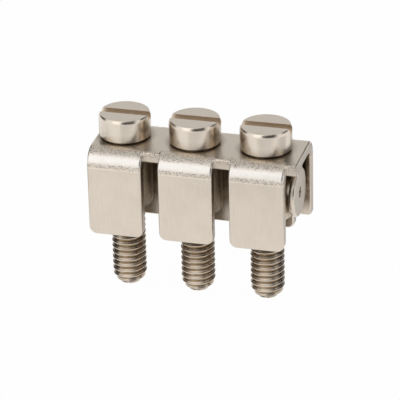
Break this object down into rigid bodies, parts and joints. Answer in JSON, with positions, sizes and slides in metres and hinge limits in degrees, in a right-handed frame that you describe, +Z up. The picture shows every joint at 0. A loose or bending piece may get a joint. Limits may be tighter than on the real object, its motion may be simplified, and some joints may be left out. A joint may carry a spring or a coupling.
{
  "type": "terminal jumper",
  "caption": "Folded nickel-plated sheet bridge with front tabs and captive slotted screws in spacer bushes, joining neighbouring screw terminals.",
  "frame": {"origin": "on the middle screw's axis, level with the back wall's lower edge", "axes": "+X along the row of poles, +Y towards the back wall, +Z up towards the screw heads"},
  "size_m": [0.024, 0.0094, 0.0213],
  "materials": {
    "nickel_sheet": "satin nickel plate over brass",
    "bush_metal": "dull plated steel",
    "nickel_screw": "bright nickel plate over steel"
  },
  "bodies": {
    "bridge": {"bridge": "nickel_sheet", "bush_1": "bush_metal", "bush_2": "bush_metal", "bush_3": "bush_metal"},
    "screw_1": {"screw_1": "nickel_screw"},
    "screw_2": {"screw_2": "nickel_screw"},
    "screw_3": {"screw_3": "nickel_screw"}
  },
  "joints": [
    {"name": "screw_1_turn", "type": "hinge", "parent": "bridge", "child": "screw_1", "pos_m": [-0.0082, 0, 0], "axis": [0, 0, 1], "continuous": true},
    {"name": "screw_2_turn", "type": "hinge", "parent": "bridge", "child": "screw_2", "pos_m": [0, 0, 0], "axis": [0, 0, 1], "continuous": true},
    {"name": "screw_3_turn", "type": "hinge", "parent": "bridge", "child": "screw_3", "pos_m": [0.0082, 0, 0], "axis": [0, 0, 1], "continuous": true}
  ]
}
